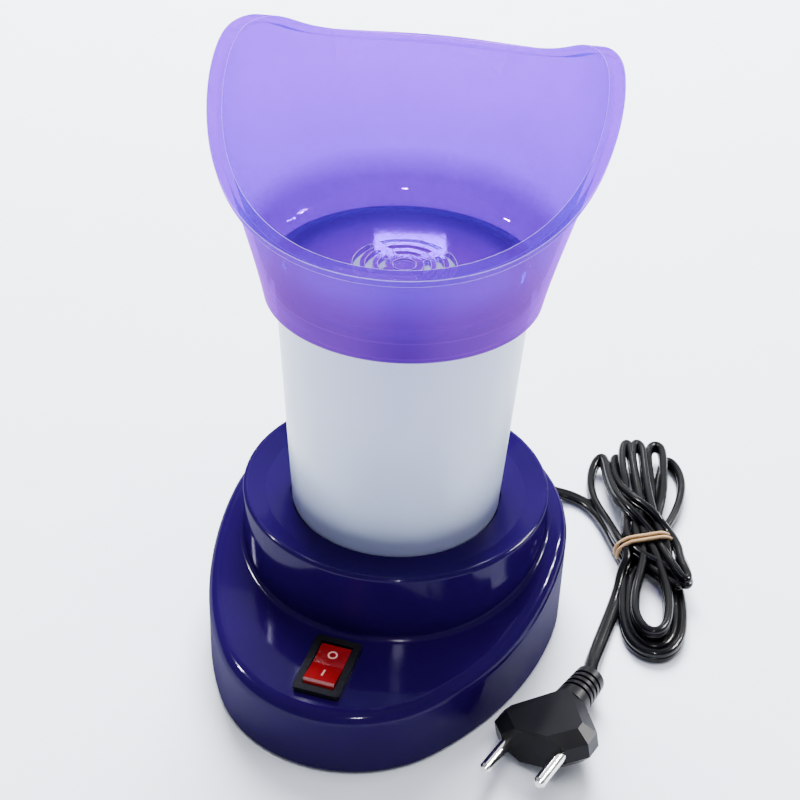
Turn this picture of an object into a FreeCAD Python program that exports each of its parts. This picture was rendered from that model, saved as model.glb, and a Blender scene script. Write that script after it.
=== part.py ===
import FreeCAD, Part
import math
import os
from FreeCAD import Matrix, Placement, Rotation, Vector

# Facial steamer: a glossy heated base, a milky water cup fixed to it, and a clear face mask
# that lifts off the cup.  A flat twin cord leaves the back and lies beside the base, folded
# into a tied hank, with a two-pin plug on its end.
#
# Frame: millimetres, +Z up, front of the steamer towards -Y.  The origin lies on the table
# under the middle of the base.  The sub-parts of the base, cup and mask are drawn about the
# cup's axis, and their placement moves them back by cup_axis_y.

SIZES = {
    "cup_axis_y": 14.0,
    # base housing: an egg-shaped outline of three radii
    "rear_radius": 60.0,
    "nose_radius": 46.0,
    "nose_offset": 42.5,
    "flank_radius": 115.0,
    "housing_bottom": 0.6,
    "housing_wall": 2.5,
    "housing_foot_round": 0.9,
    "deck_edge_round": 4.5,
    # deck: gentle slope over the nose, then a ramp up to the back
    "deck_front_z": 23.4,
    "deck_ramp_start_y": -45.0,
    "deck_ramp_start_z": 26.4,
    "deck_ramp_mid_y": -5.0,
    "deck_ramp_mid_z": 34.6,
    "deck_ramp_end_y": 40.0,
    "deck_ramp_end_z": 41.0,
    # collar and the dish inside it
    "collar_radius": 52.3,
    "collar_top": 51.4,
    "collar_crease_round": 2.0,
    "rim_round": 1.2,
    "dish_outer_radius": 50.6,
    "dish_floor_radius": 44.5,
    "dish_floor_z": 48.9,
    "dish_lip_z": 47.5,
    "seat_radius": 36.2,
    "seat_z": 45.0,
    "seat_underside": 42.0,
    "seat_hole_radius": 22.6,
    # cup
    "cup_base_radius": 35.4,
    "cup_top_radius": 40.8,
    "cup_top": 134.0,
    "cup_wall": 2.0,
    "cup_floor": 2.5,
    "cup_corner_round": 2.4,
    # face mask
    "mask_turn": 8.0,
    "mask_gap": 0.1,
    "mask_wall": 2.0,
    "mask_floor": 2.2,
    "mask_foot_round": 9.0,
    "skirt_bottom": 127.9,
    "skirt_bottom_radius": 44.2,
    "skirt_top": 140.0,
    "skirt_top_radius": 46.8,
    "mask_mid": 160.0,
    "mask_mid_radius": 52.0,
    "mask_high": 204.0,
    "mask_high_radius": 60.4,
    "flange_out": 2.8,
    "flange_drop": 2.4,
    # opening of the mask in side view: heights at places along its own front-to-back line
    "rim_front_z": 162.4,
    "rim_ear_y": 26.5,
    "rim_ear_z": 201.6,
    "rim_back_z": 187.6,
    # steam grille in the mask's floor
    "grille_hub_radius": 6.2,
    "grille_dimple_radius": 3.7,
    "grille_slot": 2.2,
    "grille_ring": 1.8,
    "grille_spoke": 3.2,
    # heater in the floor of the cup
    "gasket_thickness": 1.0,
    "gasket_outer": 27.5,
    "plate_radius": 28.5,
    "plate_thickness": 2.0,
    "boss_radius": 22.0,
    "boss_wall": 2.0,
    "boss_bottom": 35.0,
    "nut_outer": 28.0,
    "nut_height": 4.0,
    "thread_gap": 0.1,
    "element_ring_radius": 12.3,
    "element_tube_radius": 3.0,
    "element_pin_radius": 1.2,
    "element_pin_drop": 14.0,
    "element_pin_x": 5.0,
    "thermostat_radius": 7.8,
    "thermostat_height": 7.5,
    "thermostat_shoulder": 2.5,
    "thermostat_tab_spacing": 9.2,
    "strap_length": 38.0,
    "strap_width": 6.0,
    "strap_thickness": 1.2,
    "strap_screw_offset": 17.4,
    "strap_screw_radius": 1.2,
    "strap_screw_head": 2.2,
    # rocker switch
    "switch_y": -69.0,
    "switch_z": 25.35,
    "switch_tilt": 3.4,
    "bezel_width": 15.4,
    "bezel_length": 24.0,
    "bezel_height": 2.0,
    "bezel_corner": 1.2,
    "switch_width": 12.6,
    "switch_length": 21.4,
    "switch_depth": 12.5,
    "switch_opening_width": 10.8,
    "switch_opening_length": 19.0,
    "switch_opening_depth": 8.5,
    "cutout_clearance": 0.3,
    "rocker_width": 10.2,
    "rocker_end_radius": 9.2,
    "rocker_throw": 7.0,
    "rocker_dish": 6.5,
    "rocker_crease_drop": 0.5,
    "rocker_pivot_drop": 2.6,
    "rocker_pin_radius": 0.9,
    "rocker_pin_fit": 0.05,
    "tab_width": 4.8,
    "tab_thickness": 0.8,
    "tab_length": 6.0,
    "tab_spacing": 8.0,
    "sleeve_width": 6.6,
    "sleeve_thickness": 3.0,
    "sleeve_length": 6.6,
    # bottom cover, its screws and feet
    "cover_bottom": 1.0,
    "cover_thickness": 3.0,
    "cover_gap": 0.3,
    "foot_radius": 6.0,
    "nose_pad_x": 12.0,
    "nose_pad_inset": 15.0,
    "rear_pad_x": 30.0,
    "rear_pad_y": 40.0,
    "nose_screw_x": 22.0,
    "nose_screw_inset": 20.0,
    "rear_screw_x": 40.0,
    "rear_screw_y": 26.0,
    "screw_head_radius": 2.9,
    "screw_head_height": 1.5,
    "screw_shank_radius": 1.4,
    "screw_shank_length": 9.5,
    "screw_hole_gap": 0.1,
    "boss_post_radius": 4.0,
    # wiring inside the base
    "block_y": 18.0,
    "block_length": 20.0,
    "block_width": 12.0,
    "block_height": 11.0,
    "block_pole_x": 5.0,
    "wire_radius": 0.9,
    "fuse_radius": 2.2,
    "clamp_length": 20.0,
    "clamp_width": 7.0,
    "clamp_thickness": 3.0,
    "clamp_screw_offset": 7.0,
    "clamp_screw_radius": 1.3,
    "clamp_inset": 14.0,
    "inner_cord_radius": 1.7,
    "inner_cord_end": 24.0,
    # cord, its bend relief, hank, tie and plug
    "cord_width": 5.2,
    "relief_root_radius": 5.2,
    "relief_tip_radius": 3.2,
    "relief_z": 8.0,
    "relief_flange_radius": 7.6,
    "relief_flange": 2.0,
    "relief_flange_gap": 0.9,
    "relief_angle": 70.0,
    "relief_turn": 50.0,
    "relief_bend_radius": 20.0,
    "relief_hole_gap": 0.15,
    "hank_height": 14.8,
    "waist_height": 10.7,
    "waist_length": 9.0,
    "tie_radius": 0.7,
    "plug_turn": 14.5,
    "plug_rise": 3.5,
    "plug_end_z": 7.7,
    "plug_lean": 14.0,
    "plug_bevel": 4.0,
    "plug_thickness": 13.0,
    "plug_half_width": 16.8,
    "plug_shoulder_half": 6.3,
    "plug_relief_length": 16.2,
    "plug_shoulder_length": 12.5,
    "plug_body_length": 24.4,
    "plug_corner": 5.5,
    "plug_relief_start": 5.2,
    "plug_relief_end": 6.2,
    "plug_groove_first": 3.0,
    "plug_groove_pitch": 2.6,
    "plug_groove_width": 1.1,
    "pin_radius": 2.0,
    "pin_length": 15.0,
    "pin_half_spacing": 9.5,
}

doc = FreeCAD.newDocument("facial_steamer")
sheet = doc.addObject("Spreadsheet::Sheet", "Sizes")


class Size:
    """A length that knows both its number and the sheet expression it comes from."""

    def __init__(self, number, text):
        self.number = number
        self.text = text

    def joined(self, other, sign, number):
        return Size(number, "(" + self.text + sign + as_size(other).text + ")")

    def __add__(self, other):
        return self.joined(other, " + ", self.number + as_size(other).number)

    def __sub__(self, other):
        return self.joined(other, " - ", self.number - as_size(other).number)

    def __mul__(self, other):
        return self.joined(other, " * ", self.number * as_size(other).number)

    def __truediv__(self, other):
        return self.joined(other, " / ", self.number / as_size(other).number)

    def __neg__(self):
        return as_size(0) - self


def as_size(value):
    return value if isinstance(value, Size) else Size(float(value), repr(float(value)))


def fill_sheet():
    for row, (alias, value) in enumerate(SIZES.items(), start=1):
        sheet.set("A%d" % row, alias)
        sheet.set("B%d" % row, str(value))
        sheet.setAlias("B%d" % row, alias)
    doc.recompute()


fill_sheet()


def size(alias):
    return Size(float(sheet.get(alias)), "Sizes." + alias)


def mm(alias):
    return float(sheet.get(alias))


def bind(thing, name, value):
    value = as_size(value)
    thing.setExpression(name, value.text)


def put_on_axis(thing, turn=None):
    """Move a sub-part that is drawn about the cup's axis to its place in the object."""
    bind(thing, "Placement.Base.y", size("cup_axis_y"))
    if turn is not None:
        thing.Placement = Placement(thing.Placement.Base, Rotation(Vector(0, 0, 1), turn.number))
        bind(thing, "Placement.Rotation.Angle", turn)


parts = []


def finished(thing, label):
    thing.Label = label
    parts.append(thing)
    return thing


def feature(label, shape, placement=None):
    thing = doc.addObject("Part::Feature", label)
    thing.Shape = shape
    thing.Placement = placement or Placement(Vector(0, mm("cup_axis_y"), 0), Rotation())
    return finished(thing, label)


# ---------------------------------------------------------------- Part helpers

ALONG_X = Rotation(Vector(0, 0, 1), Vector(1, 0, 0))
ALONG_Y = Rotation(Vector(0, 0, 1), Vector(0, 1, 0))


def primitive(kind, name, **dimensions):
    """A Part primitive with its dimensions bound to the sheet."""
    thing = doc.addObject("Part::" + kind, name)
    for dimension, value in dimensions.items():
        bind(thing, dimension, value)
    return thing


def placed(thing, x, y, z):
    for axis, value in zip("xyz", (x, y, z)):
        bind(thing, "Placement.Base." + axis, value)
    return thing


def cylinder(name, radius, height, x=0, y=0, z=0):
    return placed(primitive("Cylinder", name, Radius=radius, Height=height), x, y, z)


def box(name, length, width, height, x=0, y=0, z=0):
    return placed(primitive("Box", name, Length=length, Width=width, Height=height), x, y, z)


def fused(name, things):
    fusion = doc.addObject("Part::MultiFuse", name)
    fusion.Shapes = things
    return fusion


def cut_from(name, base, tool):
    cut = doc.addObject("Part::Cut", name)
    cut.Base = base
    cut.Tool = tool
    return cut


def grouped(name, things):
    group = doc.addObject("Part::Compound", name)
    group.Links = things
    return group


# ---------------------------------------------------------------- PartDesign helpers

def new_body(name):
    return doc.addObject("PartDesign::Body", name)


def origin_plane(body, role):
    return next(item for item in body.Origin.OriginFeatures if item.Role == role)


def new_sketch(body, role, height=None):
    sketch = body.newObject("Sketcher::SketchObject", body.Name + "_sketch")
    sketch.AttachmentSupport = [(origin_plane(body, role), "")]
    sketch.MapMode = "FlatFace"
    if height is not None:
        sketch.AttachmentOffset = Placement(Vector(0, 0, as_size(height).number), Rotation())
        bind(sketch, "AttachmentOffset.Base.z", height)
    return sketch


def fix_point(sketch, line, place, coordinate, value):
    import Sketcher
    value = as_size(value)
    kind = "DistanceX" if coordinate == 0 else "DistanceY"
    if abs(value.number) < 1e-9:
        origin_axis = -2 if coordinate == 0 else -1
        sketch.addConstraint(Sketcher.Constraint("PointOnObject", line, place, origin_axis))
        return
    index = sketch.addConstraint(Sketcher.Constraint(kind, -1, 1, line, place, value.number))
    sketch.setExpression("Constraints[%d]" % index, value.text)


def add_outline(sketch, corners):
    """A closed outline of straight lines whose corners are bound to the sheet."""
    import Sketcher
    points = [Vector(as_size(a).number, as_size(b).number, 0) for a, b in corners]
    count = len(points)
    lines = [sketch.addGeometry(Part.LineSegment(points[i], points[(i + 1) % count])) for i in range(count)]
    for i, line in enumerate(lines):
        sketch.addConstraint(Sketcher.Constraint("Coincident", line, 2, lines[(i + 1) % count], 1))
    for line, corner in zip(lines, corners):
        for coordinate in (0, 1):
            fix_point(sketch, line, 1, coordinate, corner[coordinate])


def turned(label, corners):
    """A body of revolution about Z from (radius, height) corners."""
    body = new_body(label)
    sketch = new_sketch(body, "XZ_Plane")
    add_outline(sketch, corners)
    turn = body.newObject("PartDesign::Revolution", label + "_turn")
    turn.Profile = sketch
    turn.ReferenceAxis = (sketch, ["V_Axis"])
    turn.Angle = 360
    doc.recompute()
    return finished(body, label)


def padded(body, sketch, length):
    pad = body.newObject("PartDesign::Pad", sketch.Name + "_pad")
    pad.Profile = sketch
    pad.Length = as_size(length).number
    bind(pad, "Length", length)
    doc.recompute()
    return pad


def pocketed(body, sketch, length):
    before = body.Shape.Volume
    pocket = body.newObject("PartDesign::Pocket", sketch.Name + "_pocket")
    pocket.Profile = sketch
    pocket.Length = as_size(length).number
    bind(pocket, "Length", length)
    doc.recompute()
    if body.Shape.Volume >= before - 1e-6:
        pocket.Reversed = True
        doc.recompute()
    if body.Shape.Volume >= before - 1e-6:
        raise RuntimeError(body.Name + ": a pocket cut nothing")
    return pocket


def rounded_edges(body, base, radius, wanted):
    names = ["Edge%d" % (i + 1) for i, edge in enumerate(base.Shape.Edges) if wanted(edge)]
    fillet = body.newObject("PartDesign::Fillet", body.Name + "_round")
    fillet.Base = (base, names)
    fillet.Radius = as_size(radius).number
    bind(fillet, "Radius", radius)
    doc.recompute()
    return fillet


def rectangle(width, length, centre_y=0):
    half = as_size(width) / 2
    reach = as_size(length) / 2
    middle = as_size(centre_y)
    return [(-half, middle - reach), (half, middle - reach), (half, middle + reach), (-half, middle + reach)]


# ---------------------------------------------------------------- plain geometry helpers

def flipped_x(point):
    return Vector(-point.x, point.y, point.z)


def flipped_y(point):
    return Vector(point.x, -point.y, point.z)


def tube_along(label, points, radius):
    """A tube along straight runs joined by tangent arcs, each as large as its runs allow."""
    edges = []
    radii = []
    start = points[0]
    for before, corner, after in zip(points, points[1:], points[2:]):
        run_in = corner - before
        run_out = after - corner
        shorter = min(run_in.Length, run_out.Length)
        turn = run_in.getAngle(run_out)
        reach = 0.45 * shorter
        bend = reach / math.tan(turn / 2)
        radii.append(bend)
        arc_start = corner - Vector(run_in).normalize() * reach
        arc_end = corner + Vector(run_out).normalize() * reach
        inward = (Vector(run_out).normalize() - Vector(run_in).normalize()).normalize()
        arc_middle = corner + inward * (math.hypot(bend, reach) - bend)
        edges.append(Part.LineSegment(start, arc_start).toShape())
        edges.append(Part.Arc(arc_start, arc_middle, arc_end).toShape())
        start = arc_end
    edges.append(Part.LineSegment(start, points[-1]).toShape())
    path = Part.Wire(edges)
    direction = (points[1] - points[0]).normalize()
    section = Part.Wire([Part.Circle(points[0], direction, radius).toShape()])
    tube = path.makePipeShell([section], True, True)
    ideal = math.pi * radius ** 2 * path.Length
    print("%-14s length %6.1f  tightest arc %5.1f  volume against ideal %.4f" % (
        label, path.Length, min(radii), tube.Volume / ideal))
    return tube


def spline_through(points):
    curve = Part.BSplineCurve()
    curve.interpolate(points)
    return curve.toShape()


def egg_wire(shrink, height):
    """The base's outline: rear arc, two flank arcs and nose arc, each tangent to the next."""
    rear = mm("rear_radius") - shrink
    nose = mm("nose_radius") - shrink
    flank = mm("flank_radius") - shrink
    gap = mm("nose_offset")
    to_rear = flank - rear
    to_nose = flank - nose
    centre_y = (to_nose ** 2 - to_rear ** 2 - gap ** 2) / (2 * gap)
    centre_x = -math.sqrt(to_rear ** 2 - centre_y ** 2)
    centre = Vector(centre_x, centre_y, height)
    rear_centre = Vector(0, 0, height)
    nose_centre = Vector(0, -gap, height)
    rear_right = centre + (rear_centre - centre).normalize() * flank
    nose_right = centre + (nose_centre - centre).normalize() * flank
    middle_angle = (math.atan2(rear_right.y - centre_y, rear_right.x - centre_x)
                    + math.atan2(nose_right.y - centre_y, nose_right.x - centre_x)) / 2
    middle = centre + Vector(math.cos(middle_angle), math.sin(middle_angle), 0) * flank
    arcs = [
        Part.Arc(rear_right, rear_centre + Vector(0, rear, 0), flipped_x(rear_right)),
        Part.Arc(flipped_x(rear_right), flipped_x(middle), flipped_x(nose_right)),
        Part.Arc(flipped_x(nose_right), nose_centre - Vector(0, nose, 0), nose_right),
        Part.Arc(nose_right, middle, rear_right),
    ]
    return Part.Wire([arc.toShape() for arc in arcs])


def egg_block(shrink, bottom, top):
    return Part.Face(egg_wire(shrink, bottom)).extrude(Vector(0, 0, top - bottom))


def deck_line(drop):
    """The deck in side view, from in front of the nose to behind the back."""
    front = -mm("nose_offset") - mm("nose_radius") - 12
    start_y = mm("deck_ramp_start_y")
    start_z = mm("deck_ramp_start_z")
    mid_y = mm("deck_ramp_mid_y")
    mid_z = mm("deck_ramp_mid_z")
    end_y = mm("deck_ramp_end_y")
    end_z = mm("deck_ramp_end_z")
    front_z = mm("deck_front_z")
    places = [
        (front, front_z),
        ((front + start_y) / 2, (front_z + start_z) / 2),
        (start_y, start_z),
        (mid_y, mid_z),
        (end_y, end_z),
        (end_y + 35, end_z + 1.2),
    ]
    return [Vector(0, y, z - drop) for y, z in places]


def closed_above(line, high):
    """The block between a side-view line and a flat top at the height given."""
    reach = 90.0
    back = line[-1]
    front = line[0]
    back_top = Vector(0, back.y, high)
    front_top = Vector(0, front.y, high)
    edges = [
        spline_through(line),
        Part.LineSegment(back, back_top).toShape(),
        Part.LineSegment(back_top, front_top).toShape(),
        Part.LineSegment(front_top, front).toShape(),
    ]
    block = Part.Face(Part.Wire(edges)).extrude(Vector(2 * reach, 0, 0))
    block.translate(Vector(-reach, 0, 0))
    return block


def above_deck(drop):
    """Everything above the deck line, as a block to cut away."""
    return closed_above(deck_line(drop), 120.0)


def revolved(edges):
    """A solid of revolution from a closed wire drawn in the XZ plane."""
    return Part.Face(Part.Wire(edges)).revolve(Vector(0, 0, 0), Vector(0, 0, 1), 360)


def polyline(corners):
    """Straight edges round the XZ plane through corners given as radius and height."""
    points = [Vector(radius, 0, height) for radius, height in corners]
    pairs = zip(points, points[1:] + points[:1])
    return [Part.LineSegment(a, b).toShape() for a, b in pairs]


# ---------------------------------------------------------------- base housing

def screw_places():
    nose_y = -size("nose_offset") - size("nose_radius") + size("nose_screw_inset")
    rear_y = size("rear_screw_y")
    places = []
    for x, y in ((size("nose_screw_x"), nose_y), (size("rear_screw_x"), rear_y)):
        places.append((-x, y))
        places.append((x, y))
    return places


def relief_heading():
    """The level direction in which the cord leaves the base."""
    angle = math.radians(mm("relief_angle"))
    return Vector(math.cos(angle), math.sin(angle), 0)


def screw_axes():
    return [Vector(x.number, y.number, 0) for x, y in screw_places()]


def relief_start():
    return relief_heading() * mm("rear_radius") + Vector(0, 0, mm("relief_z"))


def switch_placement():
    turn = Rotation(Vector(1, 0, 0), mm("switch_tilt"))
    return Placement(Vector(0, mm("switch_y") + mm("cup_axis_y"), mm("switch_z")), turn)


def collar_edges(shape):
    """The edges where the collar meets the deck."""
    def on_collar(place):
        return abs(math.hypot(place.x, place.y) - mm("collar_radius")) < 0.05

    found = []
    for edge in shape.Edges:
        box = edge.BoundBox
        middle = edge.valueAt((edge.FirstParameter + edge.LastParameter) / 2)
        places = [vertex.Point for vertex in edge.Vertexes] + [middle]
        low_enough = box.ZMin > mm("deck_front_z") and box.ZMax < mm("collar_top") - 2
        if low_enough and max(box.XLength, box.YLength) > 1 and all(on_collar(p) for p in places):
            found.append(edge)
    return found


def housing_outside():
    block = egg_block(0, mm("housing_bottom"), 70).cut(above_deck(0))
    deck_edges = [e for e in block.Edges if e.BoundBox.ZMin > mm("deck_front_z") - 2
                  and (e.BoundBox.ZLength > 0.2 or e.BoundBox.YLength > 1)]
    block = block.makeFillet(mm("deck_edge_round"), deck_edges)
    foot_edges = [e for e in block.Edges if e.BoundBox.ZMax < mm("housing_bottom") + 0.01]
    block = block.makeFillet(mm("housing_foot_round"), foot_edges)
    collar = Part.makeCylinder(mm("collar_radius"), mm("collar_top") - 10, Vector(0, 0, 10))
    whole = block.fuse(collar)
    whole = whole.makeFillet(mm("collar_crease_round"), collar_edges(whole))
    rim = [e for e in whole.Edges if abs(e.BoundBox.ZMin - mm("collar_top")) < 1e-3
           and abs(e.BoundBox.ZMax - mm("collar_top")) < 1e-3]
    return whole.makeFillet(mm("rim_round"), rim)


def dish_cut():
    """The shallow dish, the seat for the cup and the hole for the heater boss."""
    top = mm("collar_top") + 1
    under = mm("seat_underside") - 1
    return revolved(polyline([
        (mm("dish_floor_radius"), mm("dish_floor_z")),
        (mm("seat_radius"), mm("dish_lip_z")),
        (mm("seat_radius"), mm("seat_z")),
        (mm("seat_hole_radius"), mm("seat_z")),
        (mm("seat_hole_radius"), under),
        (0, under),
        (0, top),
        (mm("dish_outer_radius"), top),
        (mm("dish_outer_radius"), mm("collar_top")),
    ]))


def housing_inside():
    wall = mm("housing_wall")
    hollow = egg_block(wall, -1, 70).cut(above_deck(wall))
    under_dish = Part.makeCylinder(mm("collar_radius") - wall, mm("seat_underside") - 5, Vector(0, 0, 5))
    return hollow.fuse(under_dish)


def base_housing():
    shell = housing_outside().cut(housing_inside()).cut(dish_cut())
    post_bottom = mm("cover_bottom") + mm("cover_thickness")
    inside = housing_inside()
    for place in screw_axes():
        post = Part.makeCylinder(mm("boss_post_radius"), 60, place + Vector(0, 0, post_bottom))
        shell = shell.fuse(post.common(inside))
    pilot = mm("screw_shank_radius") + mm("screw_hole_gap")
    for place in screw_axes():
        shell = shell.cut(Part.makeCylinder(pilot, mm("screw_shank_length") + 3.4, place))
    width = mm("switch_width") + mm("cutout_clearance")
    length = mm("switch_length") + mm("cutout_clearance")
    cutout = Part.makeBox(width, length, 30, Vector(-width / 2, -length / 2, -20))
    switch = switch_placement()
    cutout.Placement = Placement(switch.Base - Vector(0, mm("cup_axis_y"), 0), switch.Rotation)
    shell = shell.cut(cutout)
    outward = relief_heading()
    hole_radius = relief_neck() + mm("relief_hole_gap")
    hole = Part.makeCylinder(hole_radius, 20, relief_start() - outward * 10, outward)
    return feature("base_housing", shell.cut(hole).removeSplitter())


# ---------------------------------------------------------------- bottom of the base

def bottom_cover():
    bottom = mm("cover_bottom")
    top = bottom + mm("cover_thickness")
    plate = egg_block(mm("housing_wall") + mm("cover_gap"), bottom, top)
    recess_radius = mm("screw_head_radius") + 0.2
    recess_height = mm("screw_head_height") + 0.2
    for place in screw_axes():
        through = Part.makeCylinder(mm("screw_shank_radius") + 0.3, 10, place)
        recess = Part.makeCylinder(recess_radius, recess_height, place + Vector(0, 0, bottom))
        plate = plate.cut(through).cut(recess)
    outward = relief_heading()
    notch_radius = mm("relief_flange_radius") + 0.5
    notch = Part.makeCylinder(notch_radius, 9, relief_start() - outward * 9, outward)
    return feature("bottom_cover", plate.cut(notch).fuse(clamp_base(top)).removeSplitter())


def clamp_base(floor):
    """The raised bed the cord lies on, with a post for each clamp screw."""
    low = clamp_height()
    length = mm("clamp_length")
    width = mm("clamp_width")
    bed_top = mm("relief_z") - mm("inner_cord_radius")
    bed = Part.makeBox(length, width, bed_top - floor, Vector(-length / 2, -width / 2, floor))
    for side in (-1, 1):
        post = Part.makeCylinder(3.0, low - floor, Vector(side * mm("clamp_screw_offset"), 0, floor))
        bed = bed.fuse(post)
    for side in (-1, 1):
        pilot = mm("clamp_screw_radius") + mm("screw_hole_gap")
        bed = bed.cut(Part.makeCylinder(pilot, 20, Vector(side * mm("clamp_screw_offset"), 0, floor)))
    bed.rotate(Vector(0, 0, 0), Vector(0, 0, 1), mm("relief_angle") - 90)
    bed.translate(clamp_centre())
    return bed


def cover_screws():
    """Four screws, heads down in the recesses of the cover."""
    seat = size("cover_bottom") + 0.2
    radius = size("screw_head_radius")
    height = size("screw_head_height")
    screws = []
    for x, y in screw_places():
        head = cylinder("screw_head", radius, height, x, y, seat)
        shank = cylinder("screw_shank", size("screw_shank_radius"), size("screw_shank_length"),
                         x, y, seat + height - 0.1)
        slot = box("screw_slot", radius * 2, 0.8, 0.8, x - radius, y - 0.4, seat)
        screws.append(cut_from("screw", fused("screw_blank", [head, shank]), slot))
    put_on_axis(finished(grouped("cover_screws", screws), "cover_screws"))


def foot_pads():
    nose_y = -size("nose_offset") - size("nose_radius") + size("nose_pad_inset")
    rear_y = size("rear_pad_y")
    pads = []
    for x, y in ((size("nose_pad_x"), nose_y), (size("rear_pad_x"), rear_y)):
        for side in (-1, 1):
            pads.append(cylinder("pad", size("foot_radius"), size("cover_bottom"), x * side, y))
    put_on_axis(finished(grouped("foot_pads", pads), "foot_pads"))


# ---------------------------------------------------------------- cup and heater

def cup():
    base = size("cup_base_radius")
    top = size("cup_top_radius")
    wall = size("cup_wall")
    bottom = size("seat_z")
    floor = bottom + size("cup_floor")
    hole = size("seat_hole_radius")
    body = turned("cup", [
        (hole, bottom),
        (base, bottom),
        (top, size("cup_top")),
        (top - wall, size("cup_top")),
        (base - wall, floor),
        (hole, floor),
    ])

    def at_foot(edge):
        return edge.BoundBox.ZMax < bottom.number + 0.01 and edge.BoundBox.XMax > base.number - 1

    body.Tip = rounded_edges(body, body.Tip, size("cup_corner_round"), at_foot)
    put_on_axis(body)


def cup_gasket():
    hole = size("seat_hole_radius")
    outer = size("gasket_outer")
    floor = size("seat_z") + size("cup_floor")
    top = floor + size("gasket_thickness")
    body = turned("cup_gasket", [(hole, floor), (outer, floor), (outer, top), (hole, top)])
    put_on_axis(body)


def plate_underside():
    return size("seat_z") + size("cup_floor") + size("gasket_thickness")


def heater_plate():
    under = plate_underside()
    boss = size("boss_radius")
    body = turned("heater_plate", [
        (0, under),
        (boss - size("boss_wall"), under),
        (boss - size("boss_wall"), size("boss_bottom")),
        (boss, size("boss_bottom")),
        (boss, under),
        (size("plate_radius"), under),
        (size("plate_radius"), under + size("plate_thickness") * 0.5),
        (size("plate_radius") - 1.0, under + size("plate_thickness")),
        (0, under + size("plate_thickness")),
    ])
    put_on_axis(body)


def ring_nut():
    top = size("seat_underside")
    low = top - size("nut_height")
    inner = size("boss_radius") + size("thread_gap")
    outer = size("nut_outer")
    body = turned("ring_nut", [(inner, low), (outer, low), (outer, top), (inner, top)])
    put_on_axis(body)


def element_pin_end(side):
    """Where a terminal pin of the element ends, on the left or the right."""
    drop = size("element_tube_radius") + size("element_pin_drop")
    return (size("element_pin_x") * side, -size("element_ring_radius") + 0.8, plate_underside() - drop)


def heating_element():
    tube = size("element_tube_radius")
    ring = primitive("Torus", "element_ring", Radius1=size("element_ring_radius"), Radius2=tube)
    placed(ring, 0, 0, plate_underside() - tube)
    pins = []
    for side in (-1, 1):
        pins.append(cylinder("element_pin", size("element_pin_radius"), size("element_pin_drop"),
                             *element_pin_end(side)))
    put_on_axis(finished(fused("heating_element", [ring] + pins), "heating_element"))


def thermostat():
    top = plate_underside()
    low = top - size("thermostat_height")
    shoulder = top - size("thermostat_shoulder")
    wide = size("thermostat_radius")
    narrow = wide - 1.5
    body = turned("thermostat", [
        (0, low), (narrow, low), (narrow, shoulder), (wide, shoulder), (wide, top), (0, top),
    ])
    put_on_axis(body)


def thermostat_bottom():
    return plate_underside() - size("thermostat_height")


def thermostat_strap():
    """A bar under the thermostat, pulled up by two screws in the plate."""
    length = size("strap_length")
    width = size("strap_width")
    low = thermostat_bottom() - size("strap_thickness")
    bar = box("strap_bar", length, width, size("strap_thickness"), -length / 2, -width / 2, low)
    holes = []
    for side in (-1, 1):
        holes.append(cylinder("strap_hole", size("strap_screw_radius") + 0.2, 5,
                              size("strap_screw_offset") * side, 0, low - 1))
    put_on_axis(finished(cut_from("thermostat_strap", bar, grouped("strap_holes", holes)),
                         "thermostat_strap"))


def strap_screws():
    low = thermostat_bottom() - size("strap_thickness")
    reach = size("thermostat_height") + size("strap_thickness")
    screws = []
    for side in (-1, 1):
        x = size("strap_screw_offset") * side
        head = cylinder("strap_head", size("strap_screw_head"), 1.5, x, 0, low - 1.5)
        shank = cylinder("strap_shank", size("strap_screw_radius"), reach, x, 0, low)
        screws.append(fused("strap_screw", [head, shank]))
    put_on_axis(finished(grouped("strap_screws", screws), "strap_screws"))


# ---------------------------------------------------------------- face mask

def mask_outer_line(inset):
    places = [
        (mm("skirt_bottom_radius"), mm("skirt_bottom")),
        (mm("skirt_top_radius"), mm("skirt_top")),
        (mm("mask_mid_radius"), mm("mask_mid")),
        (mm("mask_high_radius"), mm("mask_high")),
    ]
    return [Vector(radius - inset, 0, height) for radius, height in places]


def above_rim(drop):
    """Everything above the mask's opening, as a block to cut away."""
    front = mm("rim_front_z") - drop
    ear_y = mm("rim_ear_y")
    ear = mm("rim_ear_z") - drop
    back = mm("rim_back_z") - drop
    rise = ear - front
    fall = ear - back
    line = [
        Vector(0, -75, front - 0.5),
        Vector(0, -50, front + 0.02 * rise),
        Vector(0, -36, front + 0.14 * rise),
        Vector(0, -12, front + 0.46 * rise),
        Vector(0, 9, front + 0.86 * rise),
        Vector(0, ear_y - 8, ear - 0.6),
        Vector(0, ear_y, ear),
        Vector(0, ear_y + 7, ear - 0.11 * fall),
        Vector(0, ear_y + 15, ear - 0.46 * fall),
        Vector(0, ear_y + 25, ear - 0.8 * fall),
        Vector(0, 62, back),
        Vector(0, 75, back - 0.4),
    ]
    return closed_above(line, mm("rim_ear_z") + 40)


def grille_slots(bottom, height):
    """Rings of steam slots round the hub, broken by four spokes."""
    slots = []
    inner = mm("grille_hub_radius")
    spoke = mm("grille_spoke")
    for _ in range(3):
        outer = inner + mm("grille_slot")
        ring = Part.makeCylinder(outer, height, bottom).cut(Part.makeCylinder(inner, height, bottom))
        for turn in (45, 135):
            bar = Part.makeBox(60, spoke, height, Vector(-30, -spoke / 2, bottom.z))
            bar.rotate(Vector(0, 0, 0), Vector(0, 0, 1), turn)
            ring = ring.cut(bar)
        slots.append(ring)
        inner = outer + mm("grille_ring")
    return slots


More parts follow.
